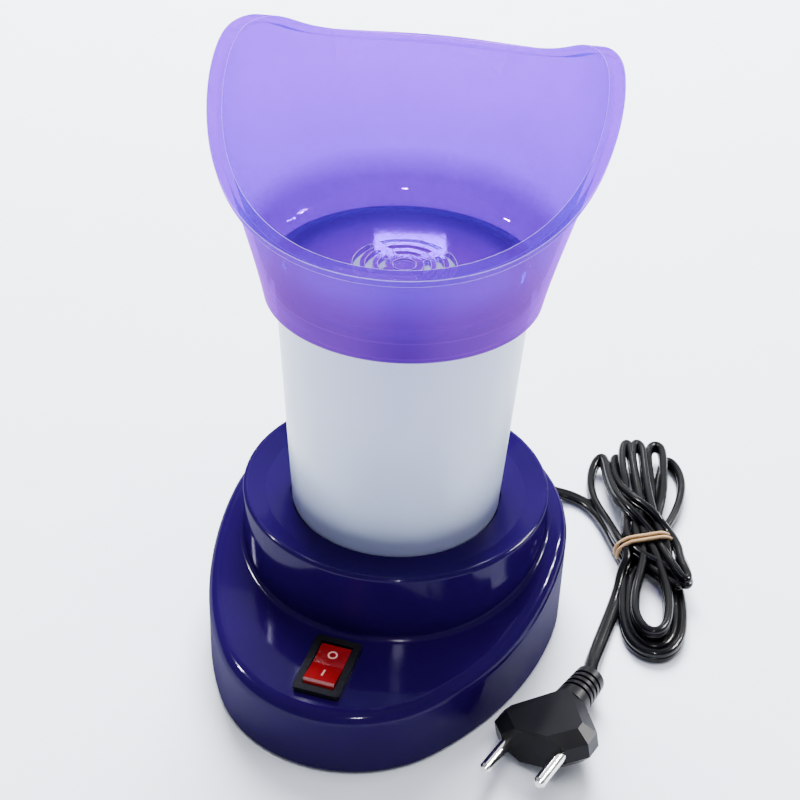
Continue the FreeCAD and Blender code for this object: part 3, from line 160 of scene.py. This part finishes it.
# x, y, z in millimetres and the turn of the flat cord about its own line in degrees
LEAD = [
    (32.7, 82.9, 8.0, 0), (37.0, 86.2, 6.0, 0), (42.2, 88.2, 3.4, 0), (49.6, 89.6, 1.9, 0),
    (57.9, 86.0, 1.9, 5), (65.5, 76.2, 2.2, 40),
]
HANK = [
    # down through the tie, then the largest lower loop
    (72.4, 62.1, 2.7, 88), (78.3, 54.1, 2.7, 88),
    (77.2, 51.7, 2.7, 90), (79.8, 36.8, 2.7, 90), (82.3, 24.3, 2.7, 90), (86.7, 14.2, 2.7, 90),
    (93.7, 9.9, 2.7, 90), (100.4, 12.3, 2.7, 90), (103.5, 21.0, 2.7, 90), (102.3, 33.2, 2.7, 90),
    (99.0, 46.4, 2.7, 90),
    # up, then the open loop on the right
    (91.6, 63.9, 2.7, 88), (85.7, 71.9, 2.7, 88),
    (89.2, 85.7, 2.7, 90), (90.3, 99.7, 2.7, 88), (88.9, 112.2, 2.7, 85), (84.4, 121.6, 2.8, 80),
    (80.1, 123.7, 3.0, 85), (79.6, 112.5, 3.2, 90), (81.2, 99.2, 3.0, 90),
    (80.4, 68.0, 2.7, 88), (86.3, 60.0, 2.7, 88),
    # the second lower loop
    (80.3, 50.9, 2.7, 90), (82.0, 36.7, 2.7, 90), (83.9, 25.8, 2.7, 90), (87.8, 17.6, 2.7, 90),
    (93.6, 13.5, 2.7, 90), (98.8, 15.7, 2.7, 90), (100.5, 23.4, 2.7, 90), (99.3, 33.9, 2.7, 90),
    (96.5, 45.5, 2.7, 90),
    (89.0, 61.9, 2.7, 88), (83.0, 70.0, 2.7, 88),
    # upper fold on the right
    (84.1, 95.4, 5.0, 90), (81.2, 112.5, 6.0, 90), (78.5, 125.0, 6.5, 90), (75.8, 127.5, 6.5, 85),
    (73.6, 125.8, 6.5, 85), (73.2, 120.2, 6.5, 90), (76.7, 107.2, 5.5, 90), (80.9, 93.5, 4.0, 90),
    (77.7, 66.0, 2.7, 88), (83.6, 58.0, 2.7, 88),
    # the third lower loop
    (83.3, 46.1, 2.9, 90), (84.5, 35.7, 2.8, 90), (86.3, 27.4, 2.8, 90), (89.7, 20.7, 2.8, 90),
    (94.0, 17.5, 2.8, 90), (96.9, 19.7, 2.8, 90), (97.5, 27.0, 2.8, 90), (96.2, 36.2, 2.8, 90),
    (94.2, 45.3, 3.0, 90),
    (91.6, 63.9, 7.9, 88), (85.7, 71.9, 7.9, 88),
    # upper fold in the middle
    (79.7, 88.0, 8.5, 88), (74.5, 105.5, 8.5, 86), (71.3, 119.6, 8.0, 84), (68.8, 123.9, 8.0, 80),
    (66.9, 122.6, 8.0, 84), (68.5, 111.8, 8.0, 88), (75.4, 89.6, 8.5, 90),
    (77.7, 66.0, 7.9, 88), (83.6, 58.0, 7.9, 88),
    # the smallest lower loop
    (84.0, 43.0, 7.2, 88), (84.3, 33.6, 7.6, 88), (85.9, 24.2, 7.8, 88), (89.8, 17.2, 7.9, 88),
    (94.5, 15.4, 7.9, 88), (97.6, 19.6, 7.9, 88), (97.4, 29.0, 7.8, 88), (95.2, 39.0, 7.6, 88),
    (91.6, 48.5, 7.6, 88),
    (86.3, 60.0, 7.9, 88), (80.4, 68.0, 7.9, 88),
    # upper fold left of the middle
    (77.0, 84.3, 9.0, 90), (71.7, 100.1, 8.5, 88), (67.6, 114.8, 8.0, 85), (64.8, 122.7, 8.0, 80),
    (63.1, 120.6, 8.0, 84), (64.7, 109.3, 8.0, 86), (69.9, 92.6, 8.0, 90),
    (75.0, 64.1, 2.7, 88), (81.0, 56.0, 2.7, 88),
    # short fold under the top one
    (85.3, 54.6, 5.0, 85), (90.9, 48.2, 6.5, 80), (95.5, 45.0, 7.0, 75), (98.2, 43.9, 7.2, 70),
    (97.9, 46.7, 7.5, 75), (93.7, 51.6, 7.6, 80),
    (81.0, 56.0, 7.9, 88), (75.0, 64.1, 7.9, 88),
    # narrow upper fold on the left
    (73.4, 75.4, 8.0, 88), (69.8, 88.8, 6.5, 86), (66.2, 102.5, 5.0, 84), (63.4, 114.0, 4.5, 80),
    (61.4, 116.4, 4.5, 80), (61.0, 111.4, 4.8, 84), (64.6, 97.4, 7.5, 88), (72.5, 84.0, 11.5, 88),
    (81.5, 78.0, 12.0, 88), (88.3, 73.9, 7.9, 88), (94.3, 65.9, 7.9, 88),
    # short fold on top, low on the right
    (96.8, 56.5, 8.6, 86), (99.8, 50.4, 9.2, 82), (101.4, 46.8, 9.2, 74), (100.9, 44.6, 9.3, 70),
    (98.6, 45.4, 9.6, 76), (93.8, 52.2, 10.0, 85),
    (89.0, 61.9, 7.9, 88), (83.0, 70.0, 7.9, 88),
    # the open loop on the left
    (74.6, 74.6, 12.0, 85), (67.2, 84.0, 10.5, 80), (61.7, 97.4, 8.0, 80), (58.4, 108.8, 6.5, 75),
    (56.0, 113.9, 5.2, 75), (54.0, 109.6, 4.0, 80), (54.4, 99.6, 2.8, 88), (58.4, 87.8, 2.8, 90),
    (66.7, 75.1, 3.8, 90),
    (72.4, 62.1, 7.9, 88), (78.3, 54.1, 7.9, 88),
]
TAIL = [
    (77.3, 47.6, 4.5, 60), (78.1, 40.9, 2.6, 30), (77.9, 32.6, 1.9, 5), (77.2, 20.0, 1.8, 0),
    (76.6, 6.0, 2.2, 0), (76.6, -5.0, 4.8, 5), (77.9, -13.0, 7.7, 10),
]


def twin_profile(width, thickness):
    """Two round cores side by side with a groove between them."""
    lobe = thickness / 2
    centre = width / 2 - lobe
    dip = math.acos(centre / lobe)
    profile = []
    for side in (1, -1):
        for i in range(POINTS_PER_CORE):
            angle = -math.pi + dip + 2 * (math.pi - dip) * i / (POINTS_PER_CORE - 1)
            profile.append((side * (centre + lobe * math.cos(angle)), side * lobe * math.sin(angle)))
    return [(a * 0.001, b * 0.001) for a, b in profile]


def make_cord():
    """The whole cord from the base to the plug."""
    route = LEAD + HANK + TAIL
    line = spline_line([mm(x, y, z) for x, y, z, roll in route])
    # a second spline smooths the turns: its x is the turn, scaled down like the route
    turns = spline_line([(roll / 1000, i / 1000, 0) for i, (x, y, z, roll) in enumerate(route)])
    rolls = [math.radians(v.x * 1000) for v in turns]
    cord = swept("cord", line, twin_profile(CORD_WIDTH, CORD_THICKNESS), rolls)
    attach(cord, "base")
    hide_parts("cord_lead", "cord_hank", "plug_lead")
    exit_x, exit_y, exit_z, exit_roll = LEAD[0]
    return cord


cord = make_cord()

# ---------------------------------------------------------------- materials


def new_material(name, colour, roughness, **sockets):
    material = bpy.data.materials.new(name)
    material.use_nodes = True
    shader = material.node_tree.nodes["Principled BSDF"]
    shader.inputs["Base Color"].default_value = (*colour, 1)
    shader.inputs["Roughness"].default_value = roughness
    for key, value in sockets.items():
        shader.inputs[key.replace("_", " ")].default_value = value
    return material


def node(material, kind, **settings):
    made = material.node_tree.nodes.new(kind)
    for key, value in settings.items():
        setattr(made, key, value)
    return made


def link(material, source, target):
    material.node_tree.links.new(source, target)


def object_noise(material, scale, detail=3.0):
    """A cloudy pattern that is fixed to the piece."""
    place = node(material, "ShaderNodeTexCoord")
    pattern = node(material, "ShaderNodeTexNoise")
    pattern.inputs["Scale"].default_value = scale
    pattern.inputs["Detail"].default_value = detail
    pattern.inputs["Roughness"].default_value = 0.55
    link(material, place.outputs["Object"], pattern.inputs["Vector"])
    return pattern.outputs["Fac"]


def ramp(material, source, low, high):
    """The middle of a noise pattern turned into a drift between two colours."""
    made = node(material, "ShaderNodeValToRGB")
    first, last = made.color_ramp.elements
    first.position = 0.35
    last.position = 0.65
    first.color = (*low, 1)
    last.color = (*high, 1)
    link(material, source, made.inputs["Fac"])
    return made.outputs["Color"]


def add_bump(material, source, strength, distance):
    bump = node(material, "ShaderNodeBump")
    bump.inputs["Strength"].default_value = strength
    bump.inputs["Distance"].default_value = distance
    link(material, source, bump.inputs["Height"])
    shader = material.node_tree.nodes["Principled BSDF"]
    link(material, bump.outputs["Normal"], shader.inputs["Normal"])


def mix_shaders(material, amount, first, second):
    made = node(material, "ShaderNodeMixShader")
    if isinstance(amount, float):
        made.inputs["Fac"].default_value = amount
    else:
        link(material, amount, made.inputs["Fac"])
    link(material, first, made.inputs[1])
    link(material, second, made.inputs[2])
    return made.outputs["Shader"]


def mapped(material, source, from_low, from_high, low=0.0, high=1.0):
    """A value brought from one range to another and held inside it."""
    made = node(material, "ShaderNodeMapRange")
    made.inputs["From Min"].default_value = from_low
    made.inputs["From Max"].default_value = from_high
    made.inputs["To Min"].default_value = low
    made.inputs["To Max"].default_value = high
    link(material, source, made.inputs["Value"])
    return made.outputs["Result"]


def spread(material, noise, low, high):
    """The middle of a noise pattern stretched to reach from low to high."""
    return mapped(material, noise, 0.3, 0.7, low, high)


def calculated(material, operation, first, second):
    made = node(material, "ShaderNodeMath", operation=operation)
    link(material, first, made.inputs[0])
    if isinstance(second, float):
        made.inputs[1].default_value = second
    else:
        link(material, second, made.inputs[1])
    return made.outputs["Value"]


# a Mix node's colour sockets share their names with its other sockets, so they go by number
COLOUR_A = 6
COLOUR_B = 7
COLOUR_RESULT = 2


def mixed_colour(material, amount, first, second):
    made = node(material, "ShaderNodeMix", data_type="RGBA")
    link(material, amount, made.inputs["Factor"])
    if isinstance(first, tuple):
        made.inputs[COLOUR_A].default_value = (*first, 1)
    else:
        link(material, first, made.inputs[COLOUR_A])
    made.inputs[COLOUR_B].default_value = (*second, 1)
    return made.outputs[COLOUR_RESULT]


def shader_of(material, kind, colour, **inputs):
    made = node(material, kind)
    if isinstance(colour, tuple):
        made.inputs["Color"].default_value = (*colour, 1)
    else:
        link(material, colour, made.inputs["Color"])
    for key, value in inputs.items():
        made.inputs[key].default_value = value
    return made.outputs["BSDF"]


def facing_power(material, power):
    """Nought where a surface faces the viewer, rising to one where it turns away."""
    facing = node(material, "ShaderNodeLayerWeight")
    facing.inputs["Blend"].default_value = 0.5
    return calculated(material, "POWER", facing.outputs["Facing"], power)


def add_gloss(material, colour, roughness, straight, grazing):
    """A clear skin whose reflection grows from its straight-on to its grazing strength."""
    tree = material.node_tree
    shader = tree.nodes["Principled BSDF"]
    output = tree.nodes["Material Output"]
    gloss = node(material, "ShaderNodeBsdfGlossy")
    gloss.inputs["Color"].default_value = (*colour, 1)
    gloss.inputs["Roughness"].default_value = roughness
    bumped = shader.inputs["Normal"].links[0].from_socket
    link(material, bumped, gloss.inputs["Normal"])
    amount = mapped(material, facing_power(material, 3.0), 0.0, 1.0, straight, grazing)
    skin = mix_shaders(material, amount, shader.outputs["BSDF"], gloss.outputs["BSDF"])
    link(material, skin, output.inputs["Surface"])


def plastic(name, low, high, rough, bump=0.05, scale=180.0, grain=0.00005, **sockets):
    """Moulded plastic or rubber: slight colour drift, uneven gloss and a fine skin."""
    material = new_material(name, low, rough, **sockets)
    shader = material.node_tree.nodes["Principled BSDF"]
    drift = object_noise(material, 18.0)
    link(material, ramp(material, drift, low, high), shader.inputs["Base Color"])
    wear = object_noise(material, 60.0, 4.0)
    link(material, spread(material, wear, rough * 0.8, rough * 1.25), shader.inputs["Roughness"])
    add_bump(material, object_noise(material, scale, 2.0), bump, grain)
    return material


def metal(name, colour, rough):
    """Bare metal with uneven polish and fine scratches."""
    material = new_material(name, colour, rough, Metallic=1.0)
    shader = material.node_tree.nodes["Principled BSDF"]
    wear = object_noise(material, 120.0, 4.0)
    link(material, spread(material, wear, rough * 0.7, rough * 1.5), shader.inputs["Roughness"])
    add_bump(material, object_noise(material, 900.0, 2.0), 0.06, 0.00003)
    return material


indigo = plastic("indigo_plastic", (0.0065, 0.0002, 0.042), (0.009, 0.0004, 0.054), 0.3,
                 bump=0.08, scale=22.0, grain=0.0003, Specular_IOR_Level=0.0)
add_gloss(indigo, (0.85, 0.83, 1.0), 0.09, 0.012, 0.068)
black_satin = plastic("black_satin", (0.0028, 0.0028, 0.0044), (0.0045, 0.0045, 0.007), 0.34,
                      Specular_IOR_Level=0.12)
black_rubber = plastic("black_rubber", (0.005, 0.005, 0.005), (0.008, 0.008, 0.008), 0.6)
cord_vinyl = plastic("cord_vinyl", (0.002, 0.002, 0.0024), (0.004, 0.004, 0.005), 0.2,
                     bump=0.25, scale=900.0, Specular_IOR_Level=0.17)
plug_vinyl = plastic("plug_vinyl", (0.0025, 0.0025, 0.0036), (0.0045, 0.0045, 0.006), 0.34,
                     bump=0.2, scale=700.0, Specular_IOR_Level=0.12)
natural = plastic("natural_nylon", (0.68, 0.65, 0.58), (0.74, 0.71, 0.64), 0.4)
brown = plastic("brown_insulation", (0.1, 0.04, 0.018), (0.13, 0.055, 0.025), 0.4)
blue = plastic("blue_insulation", (0.02, 0.06, 0.3), (0.03, 0.08, 0.36), 0.4)
silicone = plastic("silicone", (0.55, 0.53, 0.5), (0.62, 0.6, 0.56), 0.5)
steel = metal("brushed_steel", (0.62, 0.62, 0.63), 0.28)
pin_metal = metal("plated_pins", (0.83, 0.82, 0.79), 0.12)
brass = metal("brass", (0.75, 0.56, 0.26), 0.25)
tie_paper = plastic("tie_paper", (0.33, 0.19, 0.08), (0.45, 0.28, 0.13), 0.55, bump=0.4, scale=1500.0)
mark_paint = plastic("mark_paint", (0.62, 0.3, 0.24), (0.78, 0.42, 0.34), 0.4)
red_clear = plastic("red_clear", (0.09, 0.0006, 0.001), (0.32, 0.004, 0.005), 0.2, bump=0.5,
                    scale=420.0, grain=0.0003, Coat_Weight=0.3)
cup_white = plastic("cup_white", (0.49, 0.59, 0.73), (0.55, 0.64, 0.78), 0.34, bump=0.05,
                    scale=120.0, Subsurface_Weight=0.4, Subsurface_Scale=0.008,
                    Subsurface_Radius=(1.0, 1.0, 1.0))
add_gloss(cup_white, (0.9, 0.95, 1.0), 0.3, 0.02, 0.3)

# ---------------------------------------------------------------- the mask's clear plastic

# in metres at rest, where each zone of painted shade and painted light on the mask is still at nought
# and where it is in full
LOW_WALL_SHADE_HEIGHT = (0.182, 0.150)
FLOOR_LIGHT_RADIUS = (0.0375, 0.0345)
FLOOR_LIGHT_HEIGHT = (0.1475, 0.1455)
CORNER_SHADE_RADIUS = (0.0315, 0.0365)
CORNER_SHADE_HEIGHT = (0.1535, 0.1440)
# how far the painted highlight line reaches from an edge
RIM_HIGHLIGHT_WIDTH = 0.0009


def mask_place(material):
    """How far from the cup's axis and how high above the table a point of the mask rests."""
    place = node(material, "ShaderNodeTexCoord")
    parts = node(material, "ShaderNodeSeparateXYZ")
    link(material, place.outputs["Object"], parts.inputs["Vector"])
    level = node(material, "ShaderNodeCombineXYZ")
    link(material, parts.outputs["X"], level.inputs["X"])
    from_axis = calculated(material, "SUBTRACT", parts.outputs["Y"], CUP_AXIS_Y / 1000)
    link(material, from_axis, level.inputs["Y"])
    radius = node(material, "ShaderNodeVectorMath", operation="LENGTH")
    link(material, level.outputs["Vector"], radius.inputs[0])
    return radius.outputs["Value"], parts.outputs["Z"]


def mask_tint_and_painted_shade(material):
    """Painted shade low on the wall; deeper in the corner, partly for its thicker plastic and partly
    as painted shade; painted light, redder, in the floor.
    """
    radius, height = mask_place(material)
    # painted shade: the wall turns darker towards its foot
    low_wall_shade = mapped(material, height, *LOW_WALL_SHADE_HEIGHT, 0.0, 0.9)
    # painted light: the floor inside the ring turns redder and paler
    floor_light = calculated(material, "MULTIPLY", mapped(material, radius, *FLOOR_LIGHT_RADIUS),
                        mapped(material, height, *FLOOR_LIGHT_HEIGHT))
    # the corner ring: deeper for its thicker plastic, and deeper still as painted shade
    corner_shade = calculated(material, "MULTIPLY", mapped(material, radius, *CORNER_SHADE_RADIUS),
                        mapped(material, height, *CORNER_SHADE_HEIGHT))
    aslant = facing_power(material, 2.0)
    colour = mixed_colour(material, aslant, (0.44, 0.03, 0.86), (0.33, 0.0, 0.76))
    # the low-wall colour is painted shade, the floor colour painted light, the corner colour partly
    # painted shade
    colour = mixed_colour(material, low_wall_shade, colour, (0.35, 0.003, 0.79))
    colour = mixed_colour(material, floor_light, colour, (0.6, 0.01, 0.82))
    return mixed_colour(material, corner_shade, colour, (0.24, 0.0, 0.52))


def painted_rim_highlight(material):
    """A painted highlight: above nought only beside an edge, where the rounded normal leaves the
    face's own.
    """
    rounded = node(material, "ShaderNodeBevel", samples=6)
    rounded.inputs["Radius"].default_value = RIM_HIGHLIGHT_WIDTH
    straight = node(material, "ShaderNodeNewGeometry")
    agreement = node(material, "ShaderNodeVectorMath", operation="DOT_PRODUCT")
    link(material, rounded.outputs["Normal"], agreement.inputs[0])
    link(material, straight.outputs["Normal"], agreement.inputs[1])
    return mapped(material, agreement.outputs["Value"], 0.86, 0.66, 0.0, 0.6)


def make_violet():
    """Thin violet plastic that tints what is behind it and scatters a little light itself."""
    material = bpy.data.materials.new("violet_clear")
    material.use_nodes = True
    material.node_tree.nodes.clear()
    tint = shader_of(material, "ShaderNodeBsdfTransparent", mask_tint_and_painted_shade(material))
    scatter = shader_of(material, "ShaderNodeBsdfDiffuse", (0.28, 0.0, 0.76))
    glow = shader_of(material, "ShaderNodeBsdfTranslucent", (0.32, 0.0, 0.8))
    haze = mix_shaders(material, 0.5, scatter, glow)
    cloud = spread(material, object_noise(material, 30.0), 0.15, 0.2)
    body = mix_shaders(material, cloud, tint, haze)
    # pale diffuse colour painted along the edges as a highlight line
    pale = shader_of(material, "ShaderNodeBsdfDiffuse", (0.72, 0.6, 1.0))
    rim_highlighted = mix_shaders(material, painted_rim_highlight(material), body, pale)
    gloss = shader_of(material, "ShaderNodeBsdfGlossy", (0.75, 0.2, 1.0), Roughness=0.035)
    shine = mapped(material, facing_power(material, 5.0), 0.0, 1.0, 0.05, 0.3)
    output = node(material, "ShaderNodeOutputMaterial")
    link(material, mix_shaders(material, shine, rim_highlighted, gloss), output.inputs["Surface"])
    return material


violet_clear = make_violet()

# ---------------------------------------------------------------- which piece has which material

finishes = {
    "base_housing": indigo, "bottom_cover": black_satin, "foot_pads": black_rubber,
    "cover_screws": steel, "cup": cup_white, "cup_gasket": silicone, "heater_plate": steel,
    "ring_nut": black_satin, "heating_element": steel, "thermostat": black_satin,
    "thermostat_tabs": brass, "thermostat_strap": steel, "strap_screws": steel,
    "face_mask": violet_clear,
    "switch_body": black_satin, "rocker": red_clear, "rocker_pin": black_satin, "switch_tabs": brass,
    "push_on_connectors": natural, "terminal_block": natural, "live_core": brown,
    "neutral_core": blue, "live_wire": brown, "switched_wire": brown, "neutral_wire": blue,
    "element_wire": brown, "thermal_fuse": natural, "cord_clamp": black_satin,
    "clamp_screws": steel, "inner_cord": cord_vinyl, "cord_relief": cord_vinyl,
    "hank_tie": tie_paper, "plug_relief": plug_vinyl, "plug_body": plug_vinyl, "plug_pins": pin_metal,
}


def paint(obj, material):
    obj.data.materials.clear()
    obj.data.materials.append(material)


for name, finish in finishes.items():
    paint(nodes[name], finish)
paint(cord, cord_vinyl)

# ---------------------------------------------------------------- marks on the rocker

# the switch's place on the deck and the rocker's in the switch, as in the CAD
SWITCH_PLACE = (0, -55.0, 25.35)
SWITCH_TILT = math.radians(3.4)
PIVOT_DROP = 0.6
ROCKER_THROW = math.radians(-7.0)
# the crease across the key stands this high over its pin, and both halves rise from it
CREASE_HEIGHT = 2.1
KEY_SLOPE = math.radians(6.5)
# the marks reach a little under the key's surface and stand a little above it
MARK_LEVELS = (-0.05, 0.06)
O_CENTRE = 4.6
I_CENTRE = -4.4
LOOP_POINTS = 40

rocker_frame = (Matrix.Translation(mm(*SWITCH_PLACE)) @ Matrix.Rotation(SWITCH_TILT, 4, "X")
                @ Matrix.Translation(mm(0, 0, -PIVOT_DROP)) @ Matrix.Rotation(ROCKER_THROW, 4, "X"))


def on_rocker(x, y, lift):
    """A place on the rocker's shallow V, given across it and along it in millimetres."""
    height = CREASE_HEIGHT + abs(y) * math.tan(KEY_SLOPE) + lift
    return rocker_frame @ mm(x, y, height)


def flat_mark(name, inner, outer):
    """A printed mark: a thin closed band between two loops of points."""
    count = len(outer)
    points = []
    for lift in MARK_LEVELS:
        points.extend(on_rocker(x, y, lift) for x, y in outer)
        points.extend(on_rocker(x, y, lift) for x, y in inner)
    faces = []
    for i in range(count):
        k = (i + 1) % count
        low_out, low_in, top_out, top_in = (i, count + i, 2 * count + i, 3 * count + i)
        next_low_out, next_low_in = k, count + k
        next_top_out, next_top_in = 2 * count + k, 3 * count + k
        faces.append((top_out, next_top_out, next_top_in, top_in))
        faces.append((low_out, low_in, next_low_in, next_low_out))
        faces.append((low_out, next_low_out, next_top_out, top_out))
        faces.append((low_in, top_in, next_top_in, next_low_in))
    mark = mesh_object(name, points, faces, smooth=False)
    paint(mark, mark_paint)
    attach(mark, "rocker")


def loop(radius, centre_y):
    turns = [2 * math.pi * i / LOOP_POINTS for i in range(LOOP_POINTS)]
    return [(radius * math.cos(t), centre_y + radius * math.sin(t)) for t in turns]


def bar(half_width, half_length, centre_y):
    return [(half_width, centre_y - half_length), (half_width, centre_y + half_length),
            (-half_width, centre_y + half_length), (-half_width, centre_y - half_length)]


flat_mark("rocker_mark_off", loop(1.1, O_CENTRE), loop(1.6, O_CENTRE))
flat_mark("rocker_mark_on", bar(0.02, 1.35, I_CENTRE), bar(0.27, 1.6, I_CENTRE))

# ---------------------------------------------------------------- floor and light

FLOOR_REACH = 6
FLOOR_DROP = 0.0002
LIGHT_AIM = Vector((0, 0.01, 0.06))


def lay_floor():
    """A pale floor, a hair below the feet so that their faces don't meet."""
    corners = [(-FLOOR_REACH, -FLOOR_REACH, 0), (FLOOR_REACH, -FLOOR_REACH, 0),
               (FLOOR_REACH, FLOOR_REACH, 0), (-FLOOR_REACH, FLOOR_REACH, 0)]
    floor = mesh_object("floor", corners, [(0, 1, 2, 3)], smooth=False)
    floor.location.z = -FLOOR_DROP
    paint(floor, plastic("pale_floor", (0.86, 0.89, 0.97), (0.88, 0.91, 0.99), 0.6, bump=0.02))


def light_world():
    world = bpy.data.worlds.new("studio")
    bpy.context.scene.world = world
    world.use_nodes = True
    background = world.node_tree.nodes["Background"]
    background.inputs["Color"].default_value = (0.88, 0.92, 1.0, 1)
    background.inputs["Strength"].default_value = 0.4


def softbox(name, place, width, height, power, colour=(1, 1, 1)):
    """A rectangular light in watts, turned towards the object."""
    light = bpy.data.lights.new(name, "AREA")
    light.shape = "RECTANGLE"
    light.size = width
    light.size_y = height
    light.energy = power
    light.color = colour
    lamp = new_object(name, light)
    lamp.location = place
    aim = LIGHT_AIM - Vector(place)
    lamp.rotation_euler = aim.to_track_quat("-Z", "Y").to_euler()
    return lamp


lay_floor()
light_world()

# the two large lights shape the object; the strips are only seen as highlights on it
softbox("main_light", (-0.35, 1.1, 1.3), 1.0, 1.0, 165, (0.96, 0.98, 1.0)).visible_glossy = False
softbox("top_light", (0.2, -0.1, 2.0), 1.5, 1.5, 40, (0.98, 0.99, 1.0)).visible_glossy = False
softbox("patch_strip", (-0.485, 1.7, 1.1), 0.11, 0.035, 3)
strips = [
    ("backdrop", (-0.6, 2.6, 1.9), 5.0, 2.4, 45),
    ("left_strip", (-1.107, 0.1, 1.15), 0.06, 0.12, 34),
    ("right_strip_a", (1.033, 0.723, 0.985), 0.025, 0.22, 30),
    ("right_strip_b", (1.1, 0.6, 0.985), 0.018, 0.22, 18),
    ("right_strip_c", (0.9, 0.97, 0.98), 0.02, 0.3, 30),
    ("front_strip", (0.366, -0.99, 1.25), 0.12, 0.03, 15),
]
for name, place, width, height, power in strips:
    softbox(name, place, width, height, power).visible_diffuse = False
